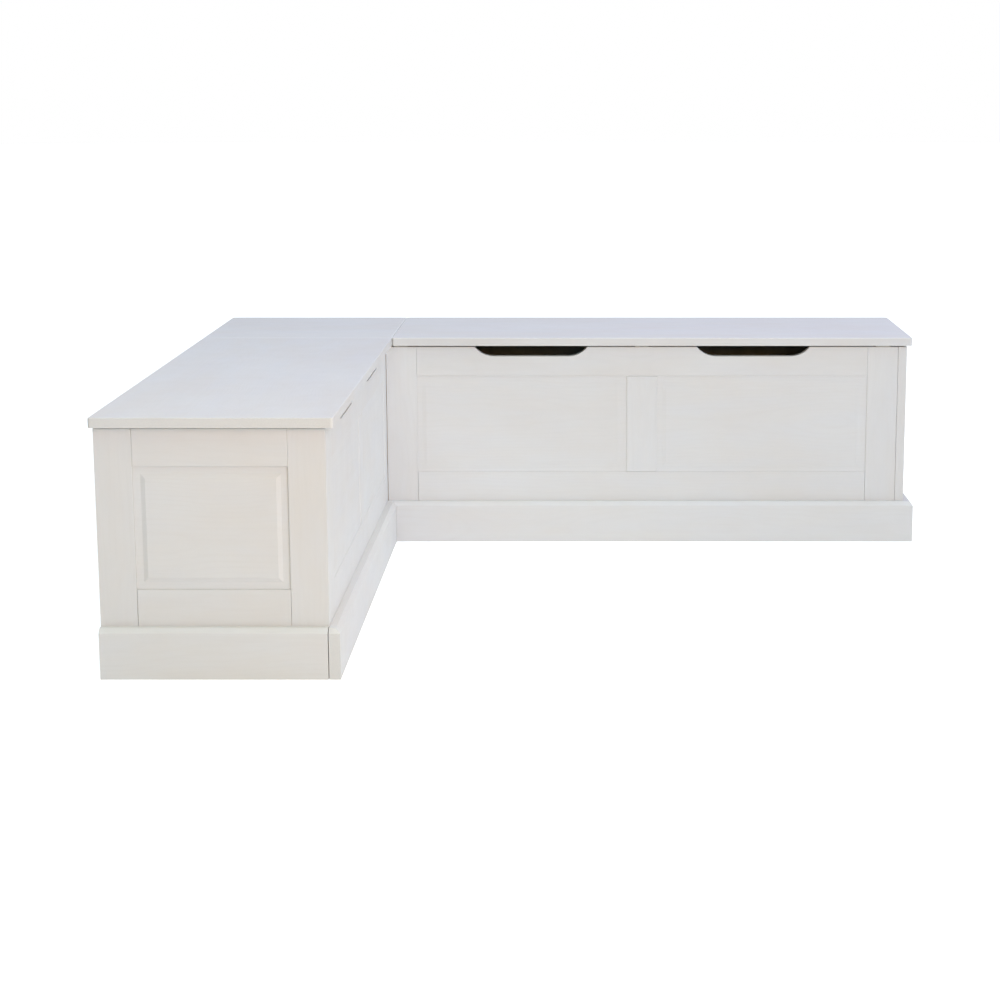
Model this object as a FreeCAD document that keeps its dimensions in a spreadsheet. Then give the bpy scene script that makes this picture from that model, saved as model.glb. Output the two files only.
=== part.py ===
import FreeCAD, Part
import os
import Sketcher

# Corner storage bench: an L-shaped seat of two lidded chests that meet at a fixed
# square corner top.  Millimetres, +Z up.  The near arm runs towards -Y, the far arm
# towards +X, and the walls are behind the -X and +Y sides.  Origin: centre of the
# footprint on the floor.

V = FreeCAD.Vector
doc = FreeCAD.newDocument("corner_storage_bench")

# ---------------------------------------------------------------- driving sizes
dims = doc.addObject("Spreadsheet::Sheet", "Dims")
SIZES = [
    ("arm_left", 1565), ("arm_right", 1565), ("lid_depth", 416), ("seat_height", 457),
    ("lid_thick", 18), ("lid_gap", 3), ("seam_gap", 0.6), ("lid_corner", 5),
    ("lid_round", 1.5), ("lid_ease", 1.2),
    ("over_wall", 5), ("over_inner", 15), ("over_front", 8),
    ("over_end_left", 15), ("over_end_right", 10),
    ("frame_thick", 19), ("stile_end", 65), ("stile_front", 67), ("muntin_width", 67),
    ("rail_low_edge", 371), ("opening_low_edge", 155), ("rail_foot", 45),
    ("groove_front", 4), ("groove_width", 6.4), ("groove_depth", 9),
    ("tongue_thick", 6.2), ("tongue_length", 8.5), ("panel_side", 8),
    ("border_flat", 13), ("border_slope", 8), ("panel_fit", 0.1),
    ("border_end", 3), ("field_end", 0.2), ("border_front", 1), ("field_front", 0.3),
    ("hole_top", 250), ("hole_flat", 165), ("hole_deep", 21), ("hole_offset", 246),
    ("plinth_height", 90), ("plinth_thick", 20), ("plinth_chamfer", 8),
    ("panel_ply", 12), ("hinge_rail_height", 66), ("post_side", 45),
    ("floor_top", 90), ("cleat_wide", 20), ("cleat_high", 30),
    ("pad_long", 30), ("pad_wide", 13), ("pad_set", 2), ("pad_free", 0.2),
    ("knuckle_radius", 2.6), ("pin_radius", 1.3), ("pin_free", 0.05),
    ("leaf_thick", 1.4), ("leaf_wide", 25), ("leaf_long", 75), ("knuckle_free", 0.3),
    ("hinge_from_end", 150), ("screw_pitch", 27), ("screw_line", 17.5),
    ("screw_radius", 1.6), ("screw_head", 3.0), ("screw_long", 15),
    ("corner_screw_long", 42), ("corner_screw_radius", 2), ("corner_screw_head", 4),
    ("joint_gap", 0.3), ("joint_gap_low", 0.6), ("end_gap", 0.6), ("corner_gap", 0.9),
    ("plinth_gap", 1.4), ("mitre_gap", 0.4),
]
for row, (name, value) in enumerate(SIZES, 1):
    dims.set("A%d" % row, name)
    dims.set("B%d" % row, str(value))
    dims.setAlias("B%d" % row, name)
doc.recompute()

NUM = dict(SIZES)


def e(text):
    """Turns a size formula into one that reads the sheet."""
    out, word = [], ""
    for ch in text + " ":
        if ch.isalnum() or ch == "_":
            word += ch
        else:
            if word in NUM:
                word = "Dims." + word
            out.append(word)
            out.append(ch)
            word = ""
    return "".join(out).strip()


# Planes of the object, measured from the wall corner of the seat outline.
XW = "over_wall"                                # outer face of the left wall panel
YW = "(0 - over_wall)"                          # outer face of the back panel
XI = "(lid_depth - over_inner)"                 # inner face of the left arm, faces +X
YF = "(over_front - lid_depth)"                 # front face of the right arm, faces -Y
YN = "(over_end_left - arm_left)"               # near end of the left arm, faces -Y
XR = "(arm_right - over_end_right)"             # right end of the right arm, faces +X
ZT = "(seat_height - lid_thick - lid_gap)"      # top of the carcass
ZL = "(seat_height - lid_thick)"                # underside of the lids
CX = "((arm_right - over_end_right + plinth_thick) / 2)"
CY = "((over_end_left - arm_left - plinth_thick) / 2)"
XIF = "(%s + corner_gap)" % XI                  # where the right arm's front starts
LEN_FL = "(%s - %s - frame_thick - joint_gap)" % (YF, YN)   # run of the left arm's inner front
LEN_FR = "(%s - frame_thick - end_gap - %s)" % (XR, XIF)  # run of the right arm's front
LEN_EL = "(%s - %s)" % (XI, XW)                 # run of the near end
LEN_ER = "(%s - %s)" % (YW, YF)                 # run of the right end
TURN = {a: FreeCAD.Rotation(V(0, 0, 1), a) for a in (0, 90, -90)}

nodes = []


def bind(obj, **props):
    for key, text in props.items():
        obj.setExpression(key.replace("__", "."), e(text))
    return obj


def put(obj, x, y, z, turn=0):
    """Places a finished piece; x and y are measured from the wall corner."""
    obj.Placement = FreeCAD.Placement(V(0, 0, 0), TURN[turn])
    bind(obj, Placement__Base__x="%s - %s" % (x, CX),
         Placement__Base__y="%s - %s" % (y, CY), Placement__Base__z=z)
    return obj


def node(obj, label):
    obj.Label = label
    nodes.append(obj)
    return obj


count = [0]


def tag(kind):
    count[0] += 1
    return "%s_%03d" % (kind, count[0])


def block(lx, ly, lz, x="0", y="0", z="0"):
    """A plain board at a local position."""
    b = doc.addObject("Part::Box", tag("Board"))
    return bind(b, Length=lx, Width=ly, Height=lz, Placement__Base__x=x,
                Placement__Base__y=y, Placement__Base__z=z)


def rod(radius, height, x, y, z, axis=V(0, 0, 1)):
    c = doc.addObject("Part::Cylinder", tag("Rod"))
    c.Placement = FreeCAD.Placement(V(0, 0, 0), FreeCAD.Rotation(V(0, 0, 1), axis))
    return bind(c, Radius=radius, Height=height, Placement__Base__x=x,
                Placement__Base__y=y, Placement__Base__z=z)


def cone(r1, r2, height, x, y, z):
    c = doc.addObject("Part::Cone", tag("Cone"))
    return bind(c, Radius1=r1, Radius2=r2, Height=height, Placement__Base__x=x,
                Placement__Base__y=y, Placement__Base__z=z)


def fuse(parts):
    if len(parts) == 1:
        return parts[0]
    f = doc.addObject("Part::MultiFuse", tag("Join"))
    f.Shapes = parts
    return f


def cut(base, tools):
    c = doc.addObject("Part::Cut", tag("Cut"))
    c.Base = base
    c.Tool = fuse(tools)
    return c


def group(parts):
    g = doc.addObject("Part::Compound", tag("Set"))
    g.Links = parts
    return g


# ---------------------------------------------------------------- sketch helpers
def plane(body, role):
    for f in body.Origin.OriginFeatures:
        if f.Role == role:
            return f


def sketch(body, role):
    s = body.newObject("Sketcher::SketchObject", tag("Sketch"))
    s.AttachmentSupport = [(plane(body, role), "")]
    s.MapMode = "FlatFace"
    return s


def rectangle(s, w, h):
    """A rectangle with one corner at the sketch origin; w and h are formulas."""
    pts = [V(0, 0, 0), V(100, 0, 0), V(100, 50, 0), V(0, 50, 0)]
    for i in range(4):
        s.addGeometry(Part.LineSegment(pts[i], pts[(i + 1) % 4]), False)
    for i in range(4):
        s.addConstraint(Sketcher.Constraint("Coincident", i, 2, (i + 1) % 4, 1))
    s.addConstraint(Sketcher.Constraint("Horizontal", 0))
    s.addConstraint(Sketcher.Constraint("Horizontal", 2))
    s.addConstraint(Sketcher.Constraint("Vertical", 1))
    s.addConstraint(Sketcher.Constraint("Vertical", 3))
    s.addConstraint(Sketcher.Constraint("Coincident", 0, 1, -1, 1))
    k = s.addConstraint(Sketcher.Constraint("DistanceX", 0, 1, 0, 2, 100))
    s.renameConstraint(k, "wide")
    k = s.addConstraint(Sketcher.Constraint("DistanceY", 1, 1, 1, 2, 50))
    s.renameConstraint(k, "high")
    bind(s, Constraints__wide=w, Constraints__high=h)
    return s


def pad(body, s, length, back=False):
    p = body.newObject("PartDesign::Pad", tag("Pad"))
    p.Profile = s
    p.Reversed = back
    bind(p, Length=length)
    return p


def pocket(body, s, length, back=False):
    p = body.newObject("PartDesign::Pocket", tag("Pocket"))
    p.Profile = s
    p.Reversed = back
    bind(p, Length=length)
    return p


def edges(shape, test):
    return ["Edge%d" % (i + 1) for i, ed in enumerate(shape.Edges) if test(ed)]


def edge_dir(ed):
    a, b = ed.Vertexes[0].Point, ed.Vertexes[-1].Point
    d = b - a
    return d.normalize() if d.Length > 1e-6 else V(0, 0, 0)


# ---------------------------------------------------------------- frame members
# Each frame is drawn with its outer face on local y = 0, its thickness behind it
# along +y, its run along +x and its height along +z.
def stile(label, width, side, at):
    """Upright with a full-length groove on its panel side (side: 'right' or 'left')."""
    body = doc.addObject("PartDesign::Body", tag("Stile"))
    s = rectangle(sketch(body, "XY_Plane"), width, "frame_thick")
    pad(body, s, ZT)
    doc.recompute()
    g = sketch(body, "XY_Plane")
    box(g, "%s - groove_depth" % width if side == "right" else "0",
        "groove_front", "groove_depth", "groove_width")
    before = body.Shape.Volume
    pocket(body, g, ZT, back=True)
    doc.recompute()
    assert body.Shape.Volume < before - 1000, label
    put(body, *at)
    return node(body, label)


def box(s, x0, y0, w, h):
    """A rectangle at a stated offset from the sketch origin."""
    a = V(10, 10, 0)
    pts = [a, a + V(30, 0, 0), a + V(30, 20, 0), a + V(0, 20, 0)]
    for i in range(4):
        s.addGeometry(Part.LineSegment(pts[i], pts[(i + 1) % 4]), False)
    for i in range(4):
        s.addConstraint(Sketcher.Constraint("Coincident", i, 2, (i + 1) % 4, 1))
    for kind, i in (("Horizontal", 0), ("Horizontal", 2), ("Vertical", 1), ("Vertical", 3)):
        s.addConstraint(Sketcher.Constraint(kind, i))
    if x0 == "0":
        s.addConstraint(Sketcher.Constraint("PointOnObject", 0, 1, -2))
    else:
        k = s.addConstraint(Sketcher.Constraint("DistanceX", -1, 1, 0, 1, 10))
        s.renameConstraint(k, "off_x")
        bind(s, Constraints__off_x=x0)
    if y0 == "0":
        s.addConstraint(Sketcher.Constraint("PointOnObject", 0, 1, -1))
    else:
        k = s.addConstraint(Sketcher.Constraint("DistanceY", -1, 1, 0, 1, 10))
        s.renameConstraint(k, "off_y")
        bind(s, Constraints__off_y=y0)
    k = s.addConstraint(Sketcher.Constraint("DistanceX", 0, 1, 0, 2, 30))
    s.renameConstraint(k, "wide")
    k = s.addConstraint(Sketcher.Constraint("DistanceY", 1, 1, 1, 2, 20))
    s.renameConstraint(k, "high")
    bind(s, Constraints__wide=w, Constraints__high=h)
    return s


def rail(label, run, low, high, groove_edge, at, gap="joint_gap"):
    """Rail between two stiles: a board with a stub tenon at each end and a panel
    groove along its upper or lower edge.  A hairline is left at each shoulder."""
    run = "(%s - 2 * %s)" % (run, gap)
    tall = "(%s - %s)" % (high, low)
    board = block(run, "frame_thick", tall)
    tenon = block("%s + 2 * tongue_length" % run, "tongue_thick", tall,
                  "0 - tongue_length", "groove_front + 0.1", "0")
    whole = fuse([board, tenon])
    zg = "0 - 1" if groove_edge == "low" else "%s - groove_depth" % tall
    slot = block("%s + 60" % run, "groove_width", "groove_depth + 1", "0 - 30",
                 "groove_front", zg)
    c = cut(whole, [slot])
    put(c, *at)
    return node(c, label)


def cutout_rail(label, run, at):
    """Top rail of a front: two hand cut-outs in its upper edge, flat-bottomed with
    a concave quarter sweep at each end."""
    tall = "(%s - rail_low_edge)" % ZT
    run = "(%s - 2 * joint_gap)" % run
    body = doc.addObject("PartDesign::Body", tag("Rail"))
    s = rectangle(sketch(body, "XZ_Plane"), run, tall)
    pad(body, s, "frame_thick", back=True)
    doc.recompute()
    for sign in ("-", "+"):
        c = sketch(body, "XZ_Plane")
        mid, low = 300.0 if sign == "-" else 700.0, 45.0
        r = 55.0
        b, d = V(mid - 80, low, 0), V(mid + 80, low, 0)
        c.addGeometry(Part.LineSegment(b, d), False)
        sweep_r = Part.ArcOfCircle(Part.Circle(V(mid + 80, low + r, 0), V(0, 0, 1), r), -1.5707963, -0.69)
        c.addGeometry(sweep_r, False)
        end_r = V(mid + 80 + r * 0.771, low + r - r * 0.636, 0)
        end_l = V(mid - 80 - r * 0.771, low + r - r * 0.636, 0)
        c.addGeometry(Part.LineSegment(end_r, end_l), False)
        sweep_l = Part.ArcOfCircle(Part.Circle(V(mid - 80, low + r, 0), V(0, 0, 1), r), -2.4516, -1.5707963)
        c.addGeometry(sweep_l, False)
        c.addConstraint(Sketcher.Constraint("Tangent", 0, 2, 1, 1))
        c.addConstraint(Sketcher.Constraint("Coincident", 1, 2, 2, 1))
        c.addConstraint(Sketcher.Constraint("Coincident", 2, 2, 3, 1))
        c.addConstraint(Sketcher.Constraint("Tangent", 3, 2, 0, 1))
        c.addConstraint(Sketcher.Constraint("Horizontal", 0))
        c.addConstraint(Sketcher.Constraint("Horizontal", 2))
        c.addConstraint(Sketcher.Constraint("Equal", 1, 3))
        for nm, con, text in (
            ("flat", Sketcher.Constraint("DistanceX", 0, 1, 0, 2, 160), "hole_flat"),
            ("top", Sketcher.Constraint("DistanceX", 2, 2, 2, 1, 240), "hole_top"),
            ("deep", Sketcher.Constraint("DistanceY", 0, 1, 2, 2, 20), "hole_deep"),
            ("place", Sketcher.Constraint("DistanceX", -1, 1, 0, 1, mid - 80),
             "%s / 2 %s hole_offset - hole_flat / 2" % (run, sign)),
            ("level", Sketcher.Constraint("DistanceY", -1, 1, 0, 1, low), "%s - hole_deep" % tall),
        ):
            k = c.addConstraint(con)
            c.renameConstraint(k, nm)
            bind(c, **{"Constraints__" + nm: text})
        before = body.Shape.Volume
        pocket(body, c, "frame_thick", back=True)
        doc.recompute()
        if body.Shape.Volume > before - 1:
            body.Tip.Reversed = False
            doc.recompute()
        assert body.Shape.Volume < before - 1000, label
    tenon_l = block("tongue_length + 1", "tongue_thick", tall, "0 - tongue_length",
                    "groove_front + 0.1", "0")
    tenon_r = block("tongue_length + 1", "tongue_thick", tall, "%s - 1" % run,
                    "groove_front + 0.1", "0")
    whole = fuse([body, tenon_l, tenon_r])
    slot = block("%s + 60" % run, "groove_width", "groove_depth + 1", "0 - 30",
                 "groove_front", "0 - 1")
    c = cut(whole, [slot])
    put(c, *at)
    return node(c, label)


def muntin(label, at):
    """Middle upright between the rails, grooved on both sides, tenoned at both ends."""
    tall = "(rail_low_edge - opening_low_edge - 2 * joint_gap)"
    board = block("muntin_width", "frame_thick", tall)
    tenon = block("muntin_width - 2 * groove_depth - 1", "tongue_thick", "%s + 2 * tongue_length" % tall,
                  "groove_depth + 0.5", "groove_front + 0.1", "0 - tongue_length")
    whole = fuse([board, tenon])
    left = block("groove_depth + 1", "groove_width", "%s + 60" % tall, "0 - 1",
                 "groove_front", "0 - 30")
    right = block("groove_depth + 1", "groove_width", "%s + 60" % tall,
                  "muntin_width - groove_depth", "groove_front", "0 - 30")
    c = cut(whole, [left, right])
    put(c, *at)
    return node(c, label)


def raised_panel(label, run, border, field, at):
    """Solid panel with a rebated tongue all round.  A flat border fills the opening,
    and a sloped shoulder leads up to a field that stops just behind the frame's face."""
    tall = "(rail_low_edge - opening_low_edge)"
    tongue = block("%s + 2 * panel_side" % run, "tongue_thick", "%s + 2 * panel_side" % tall,
                   "0 - panel_side", "groove_front + 0.1", "0 - panel_side")
    flat = block("%s - 2 * panel_fit" % run, "groove_front + 1 - %s" % border,
                 "%s - 2 * panel_fit" % tall, "panel_fit", border, "panel_fit")
    w = doc.addObject("Part::Wedge", tag("Field"))
    edge = "(border_flat + border_slope)"
    # The slope runs on 0.5 mm into the flat, so that the two solids overlap.
    under = "(border_flat - 0.5 * border_slope / (%s - %s))" % (border, field)
    bind(w, Xmin=edge, Xmax="%s - %s" % (run, edge), Zmin=edge, Zmax="%s - %s" % (tall, edge),
         Ymin=field, Ymax="%s + 0.5" % border,
         X2min=under, X2max="%s - %s" % (run, under),
         Z2min=under, Z2max="%s - %s" % (tall, under))
    c = fuse([tongue, flat, w])
    put(c, *at)
    return node(c, label)


def end_frame(prefix, x, y, turn, run, names):
    """Framed end: two stiles, two rails and one raised panel."""
    def at(dx, z):
        return (("%s + %s" % (x, dx), y, z, 0) if turn == 0
                else (x, "%s + %s" % (y, dx), z, 90))
    inside = "(%s - 2 * stile_end)" % run
    stile(prefix + "_end_stile_" + names[0], "stile_end", "right", at("0", "0"))
    stile(prefix + "_end_stile_" + names[1], "stile_end", "left",
          at("(%s - stile_end)" % run, "0"))
    rail(prefix + "_end_top_rail", inside, "rail_low_edge", ZT, "low",
         at("stile_end + joint_gap", "rail_low_edge"))
    rail(prefix + "_end_bottom_rail", inside, "rail_foot", "opening_low_edge", "high",
         at("stile_end + joint_gap_low", "rail_foot"), "joint_gap_low")
    raised_panel(prefix + "_end_panel", inside, "border_end", "field_end",
                 at("stile_end", "opening_low_edge"))


def front_frame(prefix, x, y, turn, run, names):
    """Framed front: two stiles, cut-out top rail, bottom rail, muntin, two panels."""
    def at(dx, z):
        return (("%s + %s" % (x, dx), y, z, 0) if turn == 0
                else (x, "%s + %s" % (y, dx), z, 90))
    inside = "(%s - 2 * stile_front)" % run
    bay = "((%s - muntin_width) / 2)" % inside
    stile(prefix + "_front_stile_" + names[0], "stile_front", "right", at("0", "0"))
    stile(prefix + "_front_stile_" + names[1], "stile_front", "left",
          at("(%s - stile_front)" % run, "0"))
    cutout_rail(prefix + "_front_top_rail", inside, at("stile_front + joint_gap", "rail_low_edge"))
    rail(prefix + "_front_bottom_rail", inside, "rail_foot", "opening_low_edge", "high",
         at("stile_front + joint_gap_low", "rail_foot"), "joint_gap_low")
    muntin(prefix + "_front_muntin", at("(stile_front + %s)" % bay,
                                          "opening_low_edge + joint_gap"))
    raised_panel(prefix + "_front_panel_" + names[0], bay, "border_front", "field_front",
                 at("stile_front", "opening_low_edge"))
    raised_panel(prefix + "_front_panel_" + names[1], bay, "border_front", "field_front",
                 at("(stile_front + %s + muntin_width)" % bay, "opening_low_edge"))


end_frame("left", XW, YN, 0, LEN_EL, ("wall", "inner"))
front_frame("left", XI, "(%s + frame_thick + joint_gap)" % YN, 90, LEN_FL, ("near", "corner"))
front_frame("right", XIF, YF, 0, LEN_FR, ("corner", "far"))
end_frame("right", XR, YF, 90, LEN_ER, ("front", "wall"))

# ---------------------------------------------------------------- wall sides
XWI = "(over_wall + panel_ply)"            # inside of the left wall panel
YWI = "(0 - over_wall - panel_ply)"        # inside of the back panel


def board(label, lx, ly, lz, x, y, z):
    b = doc.addObject("Part::Box", tag("Board"))
    bind(b, Length=lx, Width=ly, Height=lz)
    put(b, x, y, z)
    return node(b, label)


board("left_wall_panel", "panel_ply", "%s - %s - frame_thick" % (YW, YN), ZT,
      XW, "%s + frame_thick" % YN, "0")
board("right_wall_panel", "%s - frame_thick - %s" % (XR, XWI), "panel_ply", ZT,
      XWI, YWI, "0")
board("left_hinge_rail", "frame_thick", "%s - %s - frame_thick" % (YWI, YN), "hinge_rail_height",
      XWI, "%s + frame_thick" % YN, "%s - hinge_rail_height" % ZT)
board("right_hinge_rail", "%s - 2 * frame_thick - %s" % (XR, XWI), "frame_thick",
      "hinge_rail_height", "%s + frame_thick" % XWI, "%s - frame_thick" % YWI,
      "%s - hinge_rail_height" % ZT)

# ---------------------------------------------------------------- corner carcass
XP = "(%s - post_side)" % XI               # post's wall-side face
YP = "(%s + post_side)" % YF
board("inner_corner_post", "post_side", "post_side", ZL, XP, YF, "0")
# The divider boards stand clear of the hinge rails with a notch at their upper corner.
for label, lx, ly, nx, ny, x, y in (
    ("left_corner_divider", "%s - %s" % (XP, XWI), "panel_ply", "0 - 1", "0 - 1", XWI, YF),
    ("right_corner_divider", "panel_ply", "%s - %s" % (YWI, YP), "0 - 1",
     "%s - %s - frame_thick - 0.3" % (YWI, YP), "%s - panel_ply" % XI, YP),
):
    whole = block(lx, ly, ZL)
    notch = block("frame_thick + 1.3", "frame_thick + 1.3",
                  "hinge_rail_height + lid_gap + 1.3", nx, ny,
                  "%s - hinge_rail_height - 0.3" % ZT)
    c = cut(whole, [notch])
    put(c, x, y, "0")
    node(c, label)

ZC = "(%s - cleat_high)" % ZL
board("corner_cleat_near", "%s - %s - frame_thick - 0.5" % (XP, XWI), "cleat_wide", "cleat_high",
      "%s + frame_thick + 0.5" % XWI, "%s + panel_ply" % YF, ZC)
board("corner_cleat_inner", "cleat_wide", "%s - %s - frame_thick - 0.5" % (YWI, YP), "cleat_high",
      "%s - panel_ply - cleat_wide" % XI, YP, ZC)
board("corner_cleat_wall", "cleat_wide",
      "%s - %s - frame_thick - panel_ply - cleat_wide" % (YWI, YF), "cleat_high",
      "%s + frame_thick" % XWI, "%s + panel_ply + cleat_wide" % YF, ZC)
board("corner_cleat_back", "%s - panel_ply - 2 * cleat_wide - %s - frame_thick" % (XI, XWI),
      "cleat_wide", "cleat_high", "%s + frame_thick + cleat_wide" % XWI,
      "%s - frame_thick - cleat_wide" % YWI, ZC)

# ---------------------------------------------------------------- chest floors
ZFC = "(floor_top - panel_ply - cleat_high)"
YNI = "(%s + frame_thick)" % YN
XRI = "(%s - frame_thick)" % XR
board("left_floor", "%s - frame_thick - %s" % (XI, XWI), "%s - %s" % (YF, YNI), "panel_ply",
      XWI, YNI, "floor_top - panel_ply")
board("right_floor", "%s - %s" % (XRI, XI), "%s - %s - frame_thick" % (YWI, YF), "panel_ply",
      XI, "%s + frame_thick" % YF, "floor_top - panel_ply")
board("left_floor_cleat_wall", "cleat_wide", "%s - %s" % (YF, YNI), "cleat_high", XWI, YNI, ZFC)
board("left_floor_cleat_front", "cleat_wide", "%s - %s" % (YF, YNI), "cleat_high",
      "%s - frame_thick - cleat_wide" % XI, YNI, ZFC)
board("right_floor_cleat_wall", "%s - %s" % (XRI, XI), "cleat_wide", "cleat_high",
      XI, "%s - cleat_wide" % YWI, ZFC)
board("right_floor_cleat_front", "%s - %s" % (XRI, XI), "cleat_wide", "cleat_high",
      XI, "%s + frame_thick" % YF, ZFC)


# ---------------------------------------------------------------- plinth boards
def plinth_body(label, plan, chamfer_edges, x, y):
    """Skirting board padded from its plan outline, then chamfered along the upper
    edges whose middle lies on the named sides."""
    body = doc.addObject("PartDesign::Body", tag("Plinth"))
    s = sketch(body, "XY_Plane")
    guess = [V(*p[2], 0) for p in plan]
    n = len(plan)
    for i in range(n):
        s.addGeometry(Part.LineSegment(guess[i], guess[(i + 1) % n]), False)
    for i in range(n):
        s.addConstraint(Sketcher.Constraint("Coincident", i, 2, (i + 1) % n, 1))
    for i, (px, py, g) in enumerate(plan):
        if px == "0" and py == "0":
            s.addConstraint(Sketcher.Constraint("Coincident", i, 1, -1, 1))
            continue
        for kind, text, val, axis in (("DistanceX", px, g[0], -2), ("DistanceY", py, g[1], -1)):
            if text == "0":
                s.addConstraint(Sketcher.Constraint("PointOnObject", i, 1, axis))
            else:
                k = s.addConstraint(Sketcher.Constraint(kind, -1, 1, i, 1, val))
                nm = "c%s%d" % (kind[-1].lower(), i)
                s.renameConstraint(k, nm)
                s.setExpression("Constraints." + nm, e(text))
    p = pad(body, s, "plinth_height")
    doc.recompute()
    sh = p.Shape
    top = sh.BoundBox.ZMax

    def on(ed):
        m = ed.CenterOfMass
        if abs(m.z - top) > 0.01 or abs(edge_dir(ed).z) > 0.5:
            return False
        return any(test(m, sh.BoundBox) for test in chamfer_edges)
    c = body.newObject("PartDesign::Chamfer", tag("Chamfer"))
    c.Base = (p, edges(sh, on))
    bind(c, Size="plinth_chamfer")
    doc.recompute()
    put(body, x, y, "0")
    return node(body, label)


FRONT = lambda m, bb: abs(m.y - bb.YMin) < 0.01
OUTER = lambda m, bb: abs(m.x - bb.XMax) < 0.01

PT = "plinth_thick"
RUN_E = "(%s - plinth_gap)" % LEN_EL
plinth_body("left_plinth_end",
            [("0", "0", (0, 0)), (RUN_E, "0", (396, 0)), (RUN_E, PT, (396, 20)), ("0", PT, (0, 20))],
            [FRONT], XW, "%s - %s" % (YN, PT))
RUN_L = "(%s - %s)" % (YF, YN)
plinth_body("left_plinth_front",
            [("0", "0", (0, 0)), (PT, "0", (20, 0)), (PT, RUN_L, (20, 1142)),
             ("0", "%s + %s" % (RUN_L, PT), (0, 1162))],
            [FRONT, OUTER], XI, "%s - %s" % (YN, PT))
RUN_R = "(%s - %s + %s - mitre_gap)" % (XR, XI, PT)
plinth_body("right_plinth_front",
            [(PT, "0", (20, 0)), (RUN_R, "0", (1174, 0)), (RUN_R, PT, (1174, 20)), ("0", PT, (0, 20))],
            [FRONT, OUTER], "%s + mitre_gap" % XI, "%s - %s" % (YF, PT))
RUN_B = "(%s - joint_gap)" % LEN_ER
plinth_body("right_plinth_end",
            [("0", "0", (0, 0)), (PT, "0", (20, 0)), (PT, RUN_B, (20, 403)), ("0", RUN_B, (0, 403))],
            [OUTER], XR, "%s + joint_gap" % YF)


# ---------------------------------------------------------------- tops and lids
def top_board(label, lx, ly, x, y, reliefs=()):
    """Seat board: upright corners rounded, upper edge rounded, lower edge eased,
    with a shallow relief over each hinge knuckle on its wall edge."""
    body = doc.addObject("PartDesign::Body", tag("Top"))
    s = rectangle(sketch(body, "XY_Plane"), lx, ly)
    p = pad(body, s, "lid_thick")
    doc.recompute()
    f1 = body.newObject("PartDesign::Fillet", tag("Fillet"))
    f1.Base = (p, edges(p.Shape, lambda ed: abs(edge_dir(ed).z) > 0.9))
    bind(f1, Radius="lid_corner")
    doc.recompute()
    z1 = f1.Shape.BoundBox.ZMax
    f2 = body.newObject("PartDesign::Fillet", tag("Fillet"))
    f2.Base = (f1, edges(f1.Shape, lambda ed: abs(ed.CenterOfMass.z - z1) < 0.01))
    bind(f2, Radius="lid_round")
    doc.recompute()
    f3 = body.newObject("PartDesign::Fillet", tag("Fillet"))
    f3.Base = (f2, edges(f2.Shape, lambda ed: abs(ed.CenterOfMass.z) < 0.01))
    bind(f3, Radius="lid_ease")
    doc.recompute()
    for rx, ry, rw, rh in reliefs:
        c = sketch(body, "XY_Plane")
        box(c, rx, ry, rw, rh)
        before = body.Shape.Volume
        pk = pocket(body, c, "knuckle_radius + knuckle_free - lid_gap / 2", back=True)
        doc.recompute()
        assert body.Shape.Volume < before - 10, label
    put(body, x, y, ZL)
    return node(body, label)


LID_L = "(arm_left - lid_depth - seam_gap / 2)"
LID_R = "(arm_right - lid_depth - seam_gap / 2)"
SPOTS = ("hinge_from_end", "(%s - leaf_long) / 2", "%s - hinge_from_end - leaf_long")


def spots(run):
    return [t % run if "%s" in t else t for t in SPOTS]


AXIS = "knuckle_radius"                 # hinge axis, measured in from the lid's wall edge
DEEP = "(2 * knuckle_radius + knuckle_free)"
top_board("corner_top", "lid_depth - seam_gap / 2", "lid_depth - seam_gap / 2",
          "0", "seam_gap / 2 - lid_depth")
top_board("left_lid", "lid_depth", LID_L, "0", "0 - arm_left",
          [("0", "%s - 1" % t, DEEP, "leaf_long + 2") for t in spots(LID_L)])
top_board("right_lid", LID_R, "lid_depth", "lid_depth + seam_gap / 2", "0 - lid_depth",
          [("%s - 1" % t, "lid_depth - %s" % DEEP, "leaf_long + 2", DEEP) for t in spots(LID_R)])


# ---------------------------------------------------------------- hinges
# A hinge is drawn with its pin along local y and its leaves along +x from the pin;
# the fixed leaf lies below the pin's level and the moving leaf above it.
def leaf(run_at, moving):
    own = (1, 3) if moving else (0, 2, 4)
    fifth = "leaf_long / 5"
    lo = "0.1" if moving else "0 - 0.1 - leaf_thick"
    plate = block("leaf_wide - knuckle_radius - knuckle_free", "leaf_long", "leaf_thick",
                  "knuckle_radius + knuckle_free", run_at, lo)
    parts = [plate]
    for k in own:
        y0 = "%s + %d * %s + 0.2" % (run_at, k, fifth)
        parts.append(rod("knuckle_radius", "%s - 0.4" % fifth, "0", y0, "0", V(0, 1, 0)))
        parts.append(block("1.2 + knuckle_free", "%s - 0.4" % fifth, "leaf_thick",
                           "knuckle_radius - 1", y0, lo))
    tools = [rod("pin_radius + pin_free", "leaf_long + 2", "0", "%s - 1" % run_at, "0", V(0, 1, 0))]
    for k in (-1, 0, 1):
        y1 = "%s + leaf_long / 2 + %d * screw_pitch" % (run_at, k)
        tools.append(rod("screw_radius + 0.2", "leaf_thick + 2", "screw_line", y1, lo + " - 1"))
        if moving:
            tools.append(cone("screw_head + 0.1", "screw_radius + 0.1", "leaf_thick - 0.1",
                              "screw_line", y1, lo))
        else:
            tools.append(cone("screw_radius + 0.1", "screw_head + 0.1", "leaf_thick - 0.1",
                              "screw_line", y1, "0 - 0.1 - leaf_thick + 0.1"))
    return cut(fuse(parts), tools)


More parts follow.
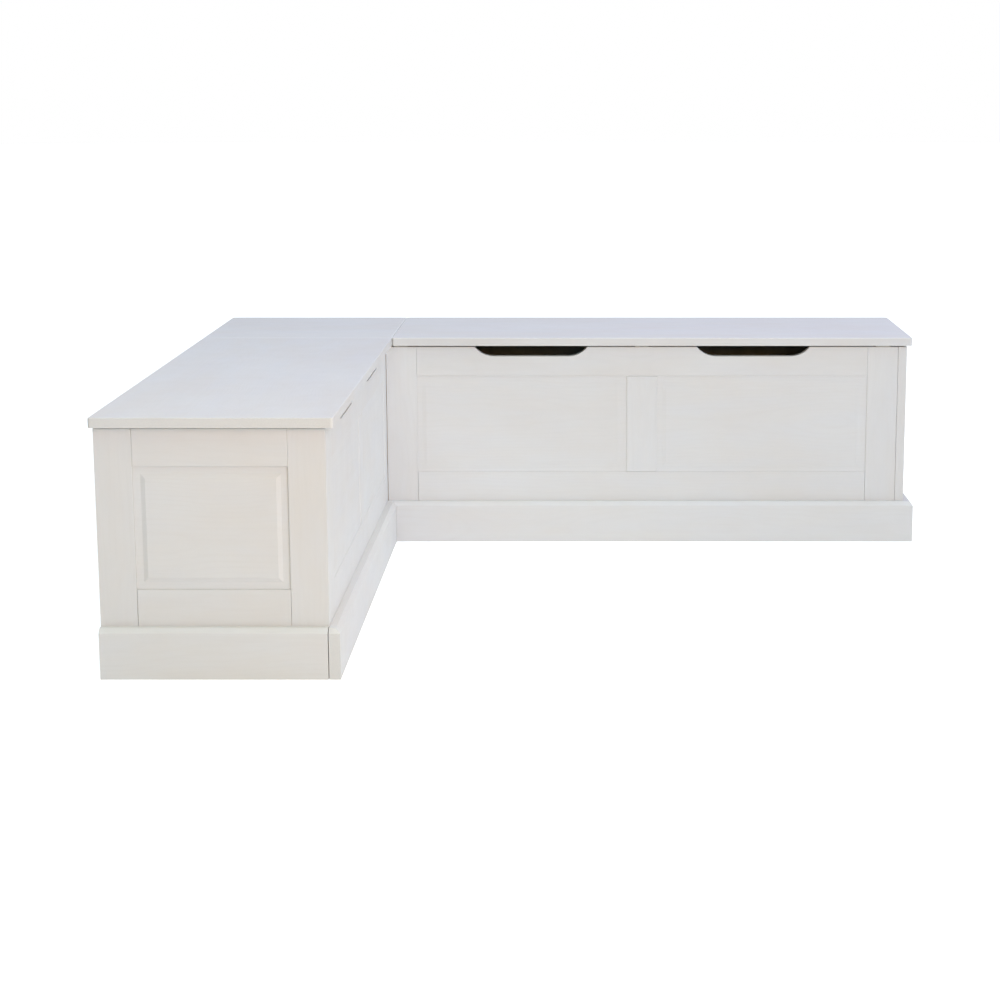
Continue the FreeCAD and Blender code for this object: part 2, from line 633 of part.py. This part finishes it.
def screw(x, y, moving):
    """Countersunk wood screw: conical head, plain shank and a pointed tip."""
    head = "(leaf_thick - 0.1)"
    if moving:
        a = cone("screw_head", "screw_radius", head, x, y, "0.1 + 0.05")
        b = rod("screw_radius", "screw_long - 4", x, y, "0.1 + 0.05 + %s - 0.01" % head)
        c = cone("screw_radius", "0.2", "4", x, y, "0.1 + 0.05 + %s - 0.01 + screw_long - 4" % head)
    else:
        a = cone("screw_radius", "screw_head", head, x, y, "0 - 0.1 - 0.05 - %s" % head)
        b = rod("screw_radius", "screw_long - 4", x, y,
                "0 - 0.15 - %s + 0.01 - screw_long + 4" % head)
        c = cone("0.2", "screw_radius", "4", x, y, "0 - 0.15 - %s + 0.01 - screw_long" % head)
    return fuse([a, b, c])


ZA = "(%s - lid_gap / 2)" % ZL


def hinge_sets(side, run, x, y, turn):
    fixed = group([leaf(t, False) for t in spots(run)])
    moving = group([leaf(t, True) for t in spots(run)])
    pins = group([rod("pin_radius", "leaf_long - 0.4", "0", "%s + 0.2" % t, "0", V(0, 1, 0)) for t in spots(run)])
    rows = [(t, k) for t in spots(run) for k in (-1, 0, 1)]
    low = group([screw("screw_line", "%s + leaf_long / 2 + %d * screw_pitch" % (t, k), False)
                 for t, k in rows])
    high = group([screw("screw_line", "%s + leaf_long / 2 + %d * screw_pitch" % (t, k), True)
                  for t, k in rows])
    for obj, label in ((fixed, side + "_hinge_fixed_leaves"), (moving, side + "_hinge_moving_leaves"),
                       (pins, side + "_hinge_pins"), (low, None), (high, side + "_lid_screws")):
        put(obj, x, y, ZA, turn)
        if label:
            node(obj, label)
    return low


low_l = hinge_sets("left", LID_L, AXIS, "0 - arm_left", 0)
# Turned by -90 degrees the pin runs along +X and the leaves reach forward.
low_r = hinge_sets("right", LID_R, "lid_depth + seam_gap / 2", "0 - %s" % AXIS, -90)
both = group([low_l, low_r])
node(both, "hinge_rail_screws")

# ---------------------------------------------------------------- pads and corner screws
PADZ = "(lid_gap - pad_free)"


def pads(label, centres, at, turn):
    g = group([block("pad_long", "pad_wide", PADZ, "%s - pad_long / 2" % c, "pad_set", "0")
               for c in centres])
    put(g, at[0], at[1], ZT, turn)
    return node(g, label)


pads("left_lid_pads", ("stile_front / 2", "%s / 2" % LEN_FL, "%s - stile_front / 2" % LEN_FL),
     (XI, "%s + joint_gap" % YNI), 90)
pads("right_lid_pads", ("stile_front / 2", "%s / 2" % LEN_FR, "%s - stile_front / 2" % LEN_FR),
     (XIF, YF), 0)


def corner_screw(x, y):
    a = cone("corner_screw_head", "corner_screw_radius", "3", x, y, ZC)
    b = rod("corner_screw_radius", "corner_screw_long - 7", x, y, "%s + 3 - 0.01" % ZC)
    c = cone("corner_screw_radius", "0.3", "4", x, y, "%s + corner_screw_long - 4 - 0.02" % ZC)
    return fuse([a, b, c])


XCW = "(%s + frame_thick + cleat_wide / 2)" % XWI
YCB = "(%s - frame_thick - cleat_wide / 2)" % YWI
XCI = "(%s - panel_ply - cleat_wide / 2)" % XI
YCN = "(%s + panel_ply + cleat_wide / 2)" % YF
corner = group([corner_screw(*p) for p in (
    ("%s + 60" % XCW, YCN), ("%s - 70" % XCI, YCN),
    ("%s + 60" % XCW, YCB), ("%s - 60" % XCI, YCB),
    (XCW, "%s + 70" % YCN), (XCW, "%s - 70" % YCB),
    (XCI, "%s + 70" % YCN), (XCI, "%s - 70" % YCB))])
put(corner, "0", "0", "0")
node(corner, "corner_top_screws")

# ---------------------------------------------------------------- checks and files
doc.recompute()
bad = []
for obj in doc.Objects:
    if any(w in obj.State for w in ("Invalid", "Error")):
        bad.append((obj.Name, obj.Label, obj.State))
names = set()
for obj in nodes:
    sh = obj.Shape
    if sh.isNull() or not sh.isValid() or not sh.Solids:
        bad.append((obj.Name, obj.Label, "shape"))
    if obj.Label in names:
        bad.append((obj.Name, obj.Label, "label used twice"))
    names.add(obj.Label)
if bad:
    for row in bad:
        print("FAULT", row)
    raise SystemExit(1)

os.makedirs("parts", exist_ok=True)
box_all = FreeCAD.BoundBox()
for obj in nodes:
    obj.Shape.exportStep("parts/%s.step" % obj.Label)
    box_all.add(obj.Shape.BoundBox)
print("nodes", len(nodes))
print("box", [round(v, 2) for v in (box_all.XMin, box_all.YMin, box_all.ZMin,
                                    box_all.XMax, box_all.YMax, box_all.ZMax)])
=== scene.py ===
import math
import random

import bpy
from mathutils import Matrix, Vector


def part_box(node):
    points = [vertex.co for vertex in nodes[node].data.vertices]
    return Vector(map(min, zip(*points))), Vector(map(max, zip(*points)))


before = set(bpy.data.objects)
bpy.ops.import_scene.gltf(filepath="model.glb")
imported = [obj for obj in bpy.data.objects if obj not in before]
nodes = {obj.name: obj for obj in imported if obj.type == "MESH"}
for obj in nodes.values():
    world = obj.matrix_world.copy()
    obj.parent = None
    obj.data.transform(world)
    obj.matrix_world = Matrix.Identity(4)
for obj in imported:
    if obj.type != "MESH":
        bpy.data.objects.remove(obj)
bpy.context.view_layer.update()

rng = random.Random(4157)
scene = bpy.context.scene


# ---------------------------------------------------------------- node helpers
class Mat:
    """A material with a Principled shader and short calls to wire patterns into it."""

    def __init__(self, name):
        self.m = bpy.data.materials.new(name)
        self.m.use_nodes = True
        self.t = self.m.node_tree
        self.t.nodes.clear()
        self.out = self.t.nodes.new("ShaderNodeOutputMaterial")
        self.bsdf = self.t.nodes.new("ShaderNodeBsdfPrincipled")
        self.t.links.new(self.bsdf.outputs["BSDF"], self.out.inputs["Surface"])
        self.coord = self.t.nodes.new("ShaderNodeTexCoord")
        self.geo = self.t.nodes.new("ShaderNodeNewGeometry")

    def put(self, socket, value):
        if isinstance(value, bpy.types.NodeSocket):
            self.t.links.new(value, socket)
        elif value is not None:
            socket.default_value = value

    def math(self, op, a, b=None, c=None, clamp=False):
        n = self.t.nodes.new("ShaderNodeMath")
        n.operation = op
        n.use_clamp = clamp
        for s, v in zip(n.inputs, (a, b, c)):
            self.put(s, v)
        return n.outputs[0]

    def vec(self, op, a, b=None):
        n = self.t.nodes.new("ShaderNodeVectorMath")
        n.operation = op
        self.put(n.inputs[0], a)
        if b is not None:
            self.put(n.inputs[1], b)
        return n.outputs["Value"] if op in ("DOT_PRODUCT", "LENGTH", "DISTANCE") else n.outputs["Vector"]

    def split(self, v):
        n = self.t.nodes.new("ShaderNodeSeparateXYZ")
        self.put(n.inputs[0], v)
        return n.outputs

    def join(self, x, y, z):
        n = self.t.nodes.new("ShaderNodeCombineXYZ")
        for s, v in zip(n.inputs, (x, y, z)):
            self.put(s, v)
        return n.outputs[0]

    def noise(self, v, scale, detail=3.0, rough=0.5, distort=0.0):
        n = self.t.nodes.new("ShaderNodeTexNoise")
        self.put(n.inputs["Vector"], v)
        n.inputs["Scale"].default_value = scale
        n.inputs["Detail"].default_value = detail
        n.inputs["Roughness"].default_value = rough
        n.inputs["Distortion"].default_value = distort
        return n.outputs["Fac"]

    def ramp(self, v, lo, hi, a=0.0, b=1.0, smooth=True):
        n = self.t.nodes.new("ShaderNodeMapRange")
        n.interpolation_type = "SMOOTHSTEP" if smooth else "LINEAR"
        self.put(n.inputs["Value"], v)
        for key, x in (("From Min", lo), ("From Max", hi), ("To Min", a), ("To Max", b)):
            n.inputs[key].default_value = x
        return n.outputs["Result"]

    def mix(self, fac, a, b):
        n = self.t.nodes.new("ShaderNodeMix")
        n.data_type = "RGBA"
        self.put(n.inputs[0], fac)
        self.put(n.inputs[6], a)
        self.put(n.inputs[7], b)
        return n.outputs[2]

    def edge(self, radius=0.0016):
        """0 on a flat, rising to 1 on a sharp arris, from the piece's own shape."""
        b = self.t.nodes.new("ShaderNodeBevel")
        b.samples = 4
        b.inputs["Radius"].default_value = radius
        d = self.vec("DOT_PRODUCT", b.outputs["Normal"], self.geo.outputs["True Normal"])
        return self.ramp(d, 0.985, 0.80)

    def bump(self, height, distance, strength=1.0, after=None):
        n = self.t.nodes.new("ShaderNodeBump")
        n.inputs["Strength"].default_value = strength
        n.inputs["Distance"].default_value = distance
        self.put(n.inputs["Height"], height)
        if after is not None:
            self.put(n.inputs["Normal"], after)
        return n.outputs["Normal"]

    def grain_space(self, axis, offset):
        """Object coordinates turned so that the grain runs along the first one."""
        p = self.split(self.vec("ADD", self.coord.outputs["Object"], offset))
        order = {"x": (0, 1, 2), "y": (1, 0, 2), "z": (2, 0, 1)}[axis]
        return [p[i] for i in order]


def lin(r, g, b):
    """Linear colour from display values of 0 to 255."""
    f = lambda v: (v / 255 / 12.92) if v / 255 <= 0.04045 else ((v / 255 + 0.055) / 1.055) ** 2.4
    return (f(r), f(g), f(b), 1.0)


def rings(m, s, pith, per_metre, wobble):
    """Growth rings round a pith line that runs along the grain: a sawn board's straight and cathedral grain."""
    a, b, c = s
    slow = m.noise(m.join(m.math("MULTIPLY", a, 0.9), b, c), 3.2, 2.0, 0.45)
    fine = m.noise(m.join(m.math("MULTIPLY", a, 0.10), b, c), 55.0, 3.0, 0.55)
    dy = m.math("SUBTRACT", b, pith[0])
    dz = m.math("SUBTRACT", c, pith[1])
    r = m.math("SQRT", m.math("ADD", m.math("MULTIPLY", dy, dy), m.math("MULTIPLY", dz, dz)))
    r = m.math("ADD", r, m.math("MULTIPLY", slow, wobble))
    r = m.math("ADD", r, m.math("MULTIPLY", fine, 0.0022))
    wave = m.math("SINE", m.math("MULTIPLY", r, 2 * math.pi * per_metre))
    return m.ramp(wave, 0.05, 1.0)


# ---------------------------------------------------------------- finishes
PAINT = lin(224, 222, 218)
PAINT_WARM = lin(222, 218, 212)
PAINT_COOL = lin(221, 221, 221)
PRIMER = lin(215, 208, 196)
END_GRAIN = lin(221, 219, 214)


def painted(name, axis, pith, round_sheen_and_wear=0.0):
    """Satin white paint on pine. The wood's grain shows through faintly. The arrises get a painted highlight, a
    lighter colour that stands in for light caught on them, and a little primer is rubbed through there.
    """
    m = Mat(name)
    off = (rng.uniform(-3, 3), rng.uniform(-3, 3), rng.uniform(-3, 3))
    s = m.grain_space(axis, off)
    a, b, c = s
    shift = {"x": (off[1], off[2]), "y": (off[0], off[2]), "z": (off[0], off[1])}[axis]
    ring = rings(m, s, (pith[0] + shift[0], pith[1] + shift[1]), 170.0, 0.055)
    streak = m.noise(m.join(m.math("MULTIPLY", a, 0.045), b, c), 190.0, 5.0, 0.62)
    pore = m.noise(m.join(m.math("MULTIPLY", a, 0.03), b, c), 1100.0, 2.0, 0.5)
    brush = m.noise(m.join(m.math("MULTIPLY", a, 0.02), b, c), 420.0, 3.0, 0.55)
    cloud = m.noise(m.join(m.math("MULTIPLY", a, 0.5), b, c), 7.0, 3.0, 0.55)
    board = m.noise(m.join(m.math("MULTIPLY", a, 0.25), b, c), 22.0, 2.0, 0.5)
    base = m.mix(m.ramp(cloud, 0.30, 0.70), PAINT_WARM, PAINT)
    base = m.mix(m.ramp(board, 0.35, 0.75, 0.0, 0.40), base, PAINT_COOL)
    dark = tuple(v * 0.93 for v in PAINT_WARM[:3]) + (1.0,)
    base = m.mix(m.ramp(streak, 0.44, 0.70, 0.0, 0.13), base, dark)
    base = m.mix(m.math("MULTIPLY", ring, 0.09), base, dark)
    base = m.mix(m.ramp(pore, 0.60, 0.72, 0.0, 0.08), base, tuple(v * 0.84 for v in PAINT_WARM[:3]) + (1.0,))
    n = m.split(m.geo.outputs["True Normal"])["xyz".index(axis)]
    sawn = m.ramp(m.math("ABSOLUTE", n), 0.75, 0.92)
    dots = m.noise(m.vec("ADD", m.coord.outputs["Object"], off), 900.0, 3.0, 0.6)
    thirsty = m.mix(m.ramp(dots, 0.42, 0.66), END_GRAIN, tuple(v * 0.94 for v in END_GRAIN[:3]) + (1.0,))
    base = m.mix(m.math("MULTIPLY", sawn, 0.85), base, thirsty)
    edge = m.edge(0.0016)
    if round_sheen_and_wear > 0.0:
        # The seat boards have full rounds, where the face leans between level and upright; these rounds also
        # get the painted highlight, by the amount given for each piece.
        up = m.split(m.geo.outputs["True Normal"])[2]
        lean = m.math("MULTIPLY", m.ramp(up, 0.10, 0.35), m.ramp(up, 0.995, 0.93))
        edge = m.math("MAXIMUM", edge, m.math("MULTIPLY", lean, round_sheen_and_wear))
    rub = m.noise(m.coord.outputs["Object"], 34.0, 4.0, 0.62)
    wear = m.math("MULTIPLY", edge, m.ramp(rub, 0.46, 0.66))
    # Painted highlight: arrises and rounds are mixed towards near white, standing in for the light they catch.
    base = m.mix(m.math("MULTIPLY", edge, 0.55, clamp=True), base, lin(246, 245, 243))
    base = m.mix(m.math("MULTIPLY", wear, 0.16), base, PRIMER)
    m.put(m.bsdf.inputs["Base Color"], base)
    rough = m.ramp(m.noise(m.coord.outputs["Object"], 18.0, 4.0, 0.6), 0.3, 0.7, 0.36, 0.50, False)
    rough = m.math("ADD", rough, m.math("MULTIPLY", pore, 0.10))
    rough = m.math("SUBTRACT", rough, m.math("MULTIPLY", edge, 0.08), clamp=True)
    m.put(m.bsdf.inputs["Roughness"], rough)
    h = m.math("ADD", m.math("MULTIPLY", streak, 0.9), m.math("MULTIPLY", ring, -0.35))
    h = m.math("ADD", h, m.math("MULTIPLY", m.ramp(pore, 0.58, 0.74), -0.45))
    h = m.math("ADD", h, m.math("MULTIPLY", brush, 0.5))
    m.put(m.bsdf.inputs["Normal"], m.bump(h, 0.00009, 0.8))
    m.bsdf.inputs["Specular IOR Level"].default_value = 0.42
    return m.m


def bare_pine(name, axis, pith):
    m = Mat(name)
    off = (rng.uniform(-3, 3), rng.uniform(-3, 3), rng.uniform(-3, 3))
    s = m.grain_space(axis, off)
    a, b, c = s
    shift = {"x": (off[1], off[2]), "y": (off[0], off[2]), "z": (off[0], off[1])}[axis]
    ring = rings(m, s, (pith[0] + shift[0], pith[1] + shift[1]), 210.0, 0.030)
    streak = m.noise(m.join(m.math("MULTIPLY", a, 0.04), b, c), 260.0, 5.0, 0.6)
    cloud = m.noise(m.join(m.math("MULTIPLY", a, 0.4), b, c), 9.0, 3.0, 0.5)
    base = m.mix(m.ramp(cloud, 0.3, 0.7), lin(226, 196, 148), lin(214, 178, 124))
    base = m.mix(m.math("MULTIPLY", ring, 0.55), base, lin(184, 132, 76))
    base = m.mix(m.ramp(streak, 0.45, 0.72, 0.0, 0.35), base, lin(196, 152, 98))
    knot = m.t.nodes.new("ShaderNodeTexVoronoi")
    knot.inputs["Scale"].default_value = 7.0
    m.put(knot.inputs["Vector"], m.join(m.math("MULTIPLY", a, 0.55), b, c))
    spot = m.ramp(knot.outputs["Distance"], 0.10, 0.055)
    base = m.mix(m.math("MULTIPLY", spot, 0.8), base, lin(122, 76, 40))
    edge = m.edge(0.0012)
    base = m.mix(m.math("MULTIPLY", edge, 0.35), base, lin(234, 210, 168))
    m.put(m.bsdf.inputs["Base Color"], base)
    m.put(m.bsdf.inputs["Roughness"], m.ramp(streak, 0.3, 0.7, 0.58, 0.74, False))
    h = m.math("ADD", m.math("MULTIPLY", streak, 0.8), m.math("MULTIPLY", ring, 0.6))
    m.put(m.bsdf.inputs["Normal"], m.bump(h, 0.00022, 0.8))
    m.bsdf.inputs["Specular IOR Level"].default_value = 0.30
    return m.m


def bare_plywood(name, axis, thick):
    """Sanded birch-faced plywood: faint face grain, and light and dark plies on the edges."""
    m = Mat(name)
    off = (rng.uniform(-3, 3), rng.uniform(-3, 3), rng.uniform(-3, 3))
    s = m.grain_space(axis, off)
    a, b, c = s
    wood = m.noise(m.join(m.math("MULTIPLY", a, 0.07), b, c), 120.0, 5.0, 0.6)
    flame = m.noise(m.join(m.math("MULTIPLY", a, 0.22), b, c), 9.0, 3.0, 0.5, 0.6)
    lines = m.math("SINE", m.math("MULTIPLY", m.math("ADD", flame, m.math("MULTIPLY", wood, 0.05)), 95.0))
    base = m.mix(m.ramp(flame, 0.3, 0.7), lin(224, 198, 158), lin(209, 179, 135))
    base = m.mix(m.ramp(lines, 0.2, 1.0, 0.0, 0.26), base, lin(180, 140, 92))
    base = m.mix(m.ramp(wood, 0.45, 0.72, 0.0, 0.25), base, lin(188, 150, 104))
    i = "xyz".index(thick)
    p = m.split(m.coord.outputs["Object"])
    n = m.split(m.geo.outputs["True Normal"])
    on_edge = m.ramp(m.math("ABSOLUTE", n[i]), 0.7, 0.5)
    ply = m.ramp(m.math("SINE", m.math("MULTIPLY", p[i], 2 * math.pi / 0.0028)), -0.4, 0.4)
    plies = m.mix(ply, lin(216, 186, 140), lin(158, 116, 72))
    base = m.mix(on_edge, base, plies)
    edge = m.edge(0.0010)
    base = m.mix(m.math("MULTIPLY", edge, 0.3), base, lin(232, 212, 178))
    m.put(m.bsdf.inputs["Base Color"], base)
    m.put(m.bsdf.inputs["Roughness"], m.ramp(wood, 0.3, 0.7, 0.55, 0.70, False))
    h = m.math("ADD", m.math("MULTIPLY", wood, 0.8), m.math("MULTIPLY", lines, 0.15))
    m.put(m.bsdf.inputs["Normal"], m.bump(h, 0.00018, 0.7))
    m.bsdf.inputs["Specular IOR Level"].default_value = 0.32
    return m.m


def plated(name, colour, tarnish, along, rough=0.30):
    """Plated steel: rolled or turned marks, a cloudy plating and brighter rubbed arrises."""
    m = Mat(name)
    s = m.grain_space(along, (0.37, 1.21, -0.64))
    a, b, c = s
    cloud = m.noise(m.coord.outputs["Object"], 160.0, 4.0, 0.6)
    lines = m.noise(m.join(m.math("MULTIPLY", a, 0.03), b, c), 3200.0, 2.0, 0.5)
    base = m.mix(m.ramp(cloud, 0.35, 0.70), colour, tarnish)
    edge = m.edge(0.0004)
    base = m.mix(m.math("MULTIPLY", edge, 0.5), base, lin(226, 226, 222))
    m.put(m.bsdf.inputs["Base Color"], base)
    m.bsdf.inputs["Metallic"].default_value = 1.0
    r = m.ramp(cloud, 0.3, 0.7, rough, rough + 0.14, False)
    r = m.math("ADD", r, m.math("MULTIPLY", lines, 0.08))
    m.put(m.bsdf.inputs["Roughness"], r)
    m.put(m.bsdf.inputs["Normal"], m.bump(lines, 0.00003, 0.6))
    return m.m


def felt(name):
    """The small soft pads under the lids."""
    m = Mat(name)
    fibre = m.noise(m.coord.outputs["Object"], 1900.0, 4.0, 0.7, 0.8)
    cloud = m.noise(m.coord.outputs["Object"], 240.0, 2.0, 0.5)
    base = m.mix(m.ramp(fibre, 0.35, 0.68), lin(206, 203, 194), lin(176, 172, 160))
    base = m.mix(m.ramp(cloud, 0.4, 0.7, 0.0, 0.3), base, lin(190, 188, 180))
    edge = m.edge(0.0006)
    base = m.mix(m.math("MULTIPLY", edge, 0.4), base, lin(216, 213, 206))
    m.put(m.bsdf.inputs["Base Color"], base)
    m.put(m.bsdf.inputs["Roughness"], m.ramp(fibre, 0.3, 0.7, 0.86, 0.97, False))
    m.bsdf.inputs["Sheen Weight"].default_value = 0.25
    m.put(m.bsdf.inputs["Normal"], m.bump(fibre, 0.00025, 0.9))
    return m.m


# ---------------------------------------------------------------- finish of each CAD piece
def give(obj, material):
    obj.data.materials.clear()
    obj.data.materials.append(material)


def longest(obj_name):
    lo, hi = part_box(obj_name)
    d = hi - lo
    return "xyz"[max(range(3), key=lambda i: d[i])]


def thinnest(obj_name):
    lo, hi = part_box(obj_name)
    d = hi - lo
    return "xyz"[min(range(3), key=lambda i: d[i])]


def heart(obj_name, axis, depth):
    """A pith line for a board, behind its thin side, so that its face is flat sawn."""
    lo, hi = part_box(obj_name)
    mid = (lo + hi) / 2
    across = [i for i in range(3) if i != "xyz".index(axis)]
    thin = "xyz".index(thinnest(obj_name))
    out = []
    for i in across:
        width = hi[i] - lo[i]
        if i == thin:
            out.append(mid[i] + depth * rng.choice((-1, 1)))
        else:
            out.append(mid[i] + rng.uniform(-0.35, 0.35) * width)
    return out


def vertical(n):
    return "stile" in n or "muntin" in n or n == "inner_corner_post"


# How strongly the rounds of the seat boards get the painted highlight, and the primer wear that shares its
# mask.
ROUND_SHEEN_AND_WEAR = {"left_lid": 0.15, "right_lid": 1.10, "corner_top": 1.60}

steel = plated("hinge_zinc", lin(196, 197, 198), lin(170, 172, 172), "y")
steel_r = plated("hinge_zinc_right", lin(196, 197, 198), lin(170, 172, 172), "x")
pin_steel = plated("pin_steel", lin(186, 187, 188), lin(150, 152, 154), "y", 0.24)
screw_zinc = plated("screw_zinc", lin(204, 198, 176), lin(178, 168, 138), "z", 0.28)
pads = felt("pad_felt")

for n, obj in sorted(nodes.items()):
    if n.endswith("_pins"):
        give(obj, pin_steel)
    elif n.endswith("_leaves"):
        give(obj, steel if n.startswith("left") else steel_r)
    elif n.endswith("_screws"):
        give(obj, screw_zinc)
    elif n.endswith("_pads"):
        give(obj, pads)
    elif n.endswith("_floor"):
        give(obj, bare_plywood("ply_" + n, longest(n), "z"))
    elif "divider" in n:
        give(obj, bare_plywood("ply_" + n, "z", thinnest(n)))
    elif "cleat" in n or n == "inner_corner_post":
        axis = longest(n)
        give(obj, bare_pine("pine_" + n, axis, heart(n, axis, 0.03)))
    else:
        if vertical(n):
            axis = "z"
        elif "panel" in n and "wall" not in n:
            axis = "x" if n.startswith("right_front") or n.startswith("left_end") else "y"
        elif n == "corner_top":
            axis = "x"
        else:
            axis = longest(n)
        give(obj, painted("paint_" + n, axis, heart(n, axis, 0.055), ROUND_SHEEN_AND_WEAR.get(n, 0.0)))


# ---------------------------------------------------------------- eased arrises
CURVED = ("lid", "corner_top", "pads", "leaves", "pins", "screws")
for n, obj in sorted(nodes.items()):
    if any(n.endswith(k) for k in CURVED):
        continue
    weld = obj.modifiers.new("weld", "WELD")
    weld.merge_threshold = 1e-5
    ease = obj.modifiers.new("ease", "BEVEL")
    ease.width = 0.0003 if "_panel" in n or "_plinth" in n else 0.0009
    ease.segments = 2
    ease.limit_method = "ANGLE"
    ease.angle_limit = math.radians(35)
    ease.use_clamp_overlap = False
    ease.harden_normals = False
    ease.miter_outer = "MITER_SHARP"


# ---------------------------------------------------------------- floor
def floor_disc():
    """A large round pale floor. It glows a little, and is seen as plain white paper."""
    mesh = bpy.data.meshes.new("pale_floor")
    steps, radii = 96, (1.5, 3.0, 5.0, 8.0, 14.0, 30.0)
    verts, faces = [(0.0, 0.0, 0.0)], []
    for r in radii:
        for j in range(steps):
            a = 2 * math.pi * j / steps
            verts.append((r * math.cos(a), r * math.sin(a), 0.0))
    for j in range(steps):
        faces.append((0, 1 + j, 1 + (j + 1) % steps))
    for i in range(len(radii) - 1):
        for j in range(steps):
            p, k = 1 + i * steps, (j + 1) % steps
            faces.append((p + j, p + steps + j, p + steps + k, p + k))
    mesh.from_pydata(verts, [], faces)
    mesh.update()
    obj = bpy.data.objects.new("pale_floor", mesh)
    scene.collection.objects.link(obj)
    m = Mat("pale_floor")
    where = m.coord.outputs["Object"]
    soft = m.noise(where, 1.3, 3.0, 0.5)
    fine = m.noise(where, 240.0, 3.0, 0.5)
    tone = m.mix(m.ramp(soft, 0.3, 0.7), (0.900, 0.900, 0.900, 1), (0.885, 0.885, 0.888, 1))
    m.put(m.bsdf.inputs["Base Color"], tone)
    m.put(m.bsdf.inputs["Roughness"], m.ramp(fine, 0.3, 0.7, 0.75, 0.85, False))
    m.bsdf.inputs["Specular IOR Level"].default_value = 0.1
    m.bsdf.inputs["Emission Color"].default_value = (1.0, 1.0, 1.0, 1.0)
    seen = m.t.nodes.new("ShaderNodeLightPath").outputs["Is Camera Ray"]
    m.put(m.bsdf.inputs["Emission Strength"], m.math("MULTIPLY_ADD", seen, 0.55, 0.05))
    obj.data.materials.append(m.m)


floor_disc()


# ---------------------------------------------------------------- light
def studio(fill):
    """A soft even fill from all round, and plain white behind the bench."""
    world = bpy.data.worlds.new("studio")
    world.use_nodes = True
    t = world.node_tree
    t.nodes.clear()
    out = t.nodes.new("ShaderNodeOutputWorld")
    room = t.nodes.new("ShaderNodeBackground")
    white = t.nodes.new("ShaderNodeBackground")
    room.inputs["Color"].default_value = (1.0, 1.0, 1.0, 1.0)
    room.inputs["Strength"].default_value = fill
    white.inputs["Color"].default_value = (1.0, 1.0, 1.0, 1.0)
    white.inputs["Strength"].default_value = 1.0
    path = t.nodes.new("ShaderNodeLightPath")
    pick = t.nodes.new("ShaderNodeMixShader")
    t.links.new(path.outputs["Is Camera Ray"], pick.inputs[0])
    t.links.new(room.outputs[0], pick.inputs[1])
    t.links.new(white.outputs[0], pick.inputs[2])
    t.links.new(pick.outputs[0], out.inputs["Surface"])
    scene.world = world


def place(name, data, strength, turn):
    """strength is the light's red, green and blue share, in its own unit."""
    data.energy = max(strength)
    data.color = tuple(v / max(strength) for v in strength)
    obj = bpy.data.objects.new(name, data)
    scene.collection.objects.link(obj)
    obj.rotation_euler = turn.to_track_quat("-Z", "Y").to_euler()
    return obj


def sky(name, towards, angle, strength):
    """A wide soft light far away, in one direction. It lights a white sheet facing it to strength."""
    data = bpy.data.lights.new(name, "SUN")
    data.angle = math.radians(angle)
    place(name, data, tuple(math.pi * v for v in strength), -Vector(towards))


def lamp(name, at, to, size, strength):
    data = bpy.data.lights.new(name, "AREA")
    data.shape = "RECTANGLE"
    data.size = data.size_y = size
    obj = place(name, data, strength, Vector(to) - Vector(at))
    obj.location = at
    obj.visible_camera = False


studio(0.08)
sky("sky_back", (0.0, 1.0, 0.9), 70.0, (0.175, 0.131, 0.210))
sky("sky_front", (1.0, -1.0, 0.5), 30.0, (0.220, 0.282, 0.387))
sky("sky_right", (1.0, -0.15, 0.35), 60.0, (0.137, 0.108, 0.066))
sky("sky_top", (0.0, 0.0, 1.0), 100.0, (0.395, 0.514, 0.501))
lamp("front_near", (0.6, -2.6, 1.3), (0.0, 0.0, 0.25), 1.0, (15.1, 9.7, 3.4))
lamp("front_far", (0.2, -3.8, 1.8), (0.0, 0.0, 0.25), 1.4, (4.0, 0.04, 0.04))
lamp("over_near", (-0.75, -1.0, 2.0), (-0.6, -0.6, 0.45), 1.2, (4.45, 4.85, 5.02))
lamp("over_right", (0.9, 0.2, 2.2), (0.5, 0.5, 0.45), 1.0, (4.45, 4.24, 7.62))

scene.view_settings.view_transform = "Standard"
scene.view_settings.look = "None"
scene.view_settings.exposure = 0.0
scene.view_settings.gamma = 1.0


# ---------------------------------------------------------------- camera
cam = bpy.data.cameras.new("camera")
cam.sensor_width = 36.0
cam.lens = 2188.64 / 1000.0 * 36.0
cam.shift_x = -(585.72 - 500.0) / 1000.0
cam.shift_y = 0.0
cam.clip_start, cam.clip_end = 0.1, 60.0
cam_obj = bpy.data.objects.new("camera", cam)
scene.collection.objects.link(cam_obj)
cam_obj.location = (0.05639, -4.43926, 1.02583)
cam_obj.rotation_euler = (math.radians(90.0) - 0.1917, 0.0, 0.0)
scene.camera = cam_obj
